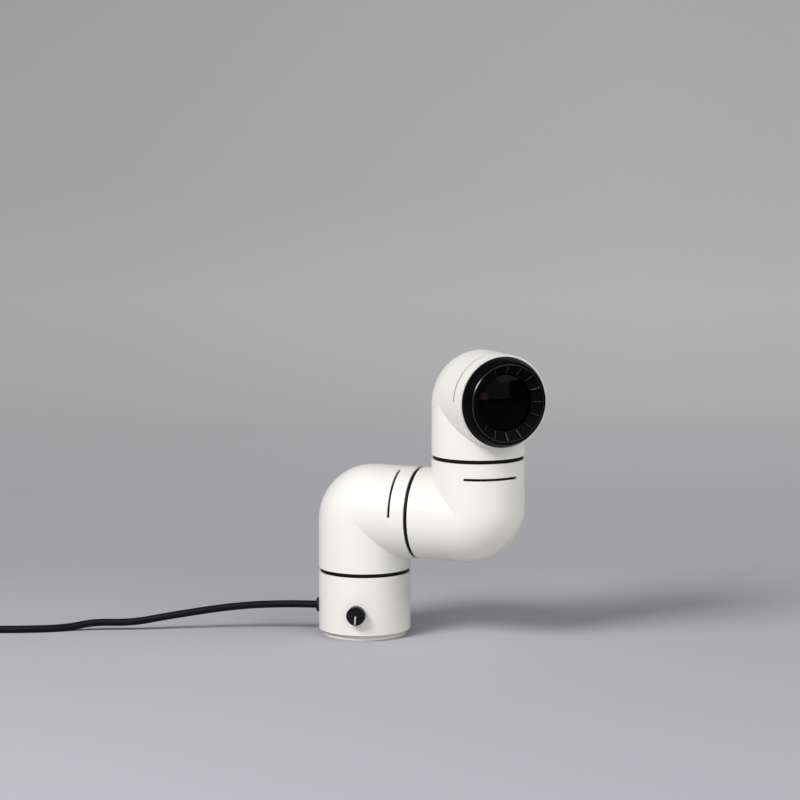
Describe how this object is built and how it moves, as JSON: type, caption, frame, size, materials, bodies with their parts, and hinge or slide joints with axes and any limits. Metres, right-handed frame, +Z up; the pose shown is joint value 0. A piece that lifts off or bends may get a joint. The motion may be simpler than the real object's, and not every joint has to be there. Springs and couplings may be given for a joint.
{
  "type": "tabletop searchlight lamp",
  "caption": "Table lamp of white tube elbows joined by swivels, with a ribbed searchlight head, a dimmer knob on the round base and a black mains cord.",
  "frame": {"origin": "on the base tube's axis, at the table face under the foot pad", "axes": "+Z up along the base tube, -Y out through the dimmer knob, -X out along the mains cord"},
  "size_m": [0.5862, 0.1926, 0.254],
  "materials": {
    "shell_white": "gloss",
    "foot_white": "gloss",
    "black_satin": "satin",
    "black_lacquer": "satin",
    "knob_black": "satin",
    "pointer_white": "gloss",
    "cord_black": "satin",
    "tie_black": "matte",
    "dark_glass": "gloss",
    "led_amber": "gloss",
    "led_board_white": "satin",
    "bare_aluminium": "satin",
    "steel": "satin",
    "nickel": "polished",
    "ballast_iron": "matte",
    "copper_winding": "satin",
    "pad_rubber": "matte",
    "bush_nylon": "satin",
    "board_green": "satin",
    "components_black": "satin",
    "terminal_white": "satin",
    "lead_grey": "satin"
  },
  "bodies": {
    "base": {"base_shell": "shell_white", "foot_plate": "foot_white", "foot_pad": "pad_rubber", "ballast": "ballast_iron", "foot_screws": "steel", "chassis_spacers": "steel", "chassis_plate": "steel", "chassis_screws": "steel", "transformer_pad": "pad_rubber", "transformer": "copper_winding", "transformer_clamp": "steel", "hollow_bolt": "steel", "hollow_bolt_nuts": "steel", "dimmer_body": "components_black", "dimmer_nut": "nickel", "cord_gland": "knob_black", "gland_nut": "components_black", "terminal_block": "terminal_white", "driver_board": "board_green", "driver_pillars": "bush_nylon", "driver_components": "components_black", "lead_connector": "terminal_white", "base_lead": "lead_grey", "base_socket": "black_satin", "base_retaining_ring": "steel", "power_cord": "cord_black", "cord_coil": "cord_black", "cord_tie": "tie_black", "plug_body": "cord_black", "plug_pins": "nickel"},
    "knob": {"dimmer_shaft": "bare_aluminium", "dimmer_knob": "knob_black", "knob_pointer": "pointer_white"},
    "lower_arm": {"lower_elbow": "shell_white", "lower_hub": "black_satin", "lower_bush": "bush_nylon", "lower_spring_washer": "steel", "lower_lead": "lead_grey", "lower_socket": "black_satin", "lower_retaining_ring": "steel"},
    "middle_arm": {"middle_elbow": "shell_white", "middle_hub": "black_satin", "middle_bush": "bush_nylon", "middle_spring_washer": "steel", "middle_lead": "lead_grey", "middle_socket": "black_satin", "middle_retaining_ring": "steel"},
    "head": {"head_elbow": "shell_white", "head_hub": "black_satin", "head_bush": "bush_nylon", "head_spring_washer": "steel", "head_lead": "lead_grey", "bezel": "black_lacquer", "cover_glass": "dark_glass", "glass_seal": "pad_rubber", "light_shield": "black_satin", "led_board": "led_board_white", "led_chip": "led_amber", "heat_sink": "bare_aluminium", "head_screws": "steel"}
  },
  "joints": [
    {"name": "base_swivel", "type": "hinge", "parent": "base", "child": "lower_arm", "pos_m": [0, 0, 0.0574], "axis": [0, 0, 1], "range_deg": [-248.4, 91.6]},
    {"name": "middle_swivel", "type": "hinge", "parent": "lower_arm", "child": "middle_arm", "pos_m": [0.05113, -0.0105, 0.1096], "axis": [0.9796, -0.2011, 0], "range_deg": [-100, 100]},
    {"name": "head_swivel", "type": "hinge", "parent": "middle_arm", "child": "head", "pos_m": [0.10227, -0.02099, 0.1618], "axis": [0, 0, 1], "range_deg": [-170, 170]},
    {"name": "dimmer_turn", "type": "hinge", "parent": "base", "child": "knob", "pos_m": [0, -0.04, 0.0238], "axis": [0, 1, 0], "range_deg": [0, 290]}
  ]
}
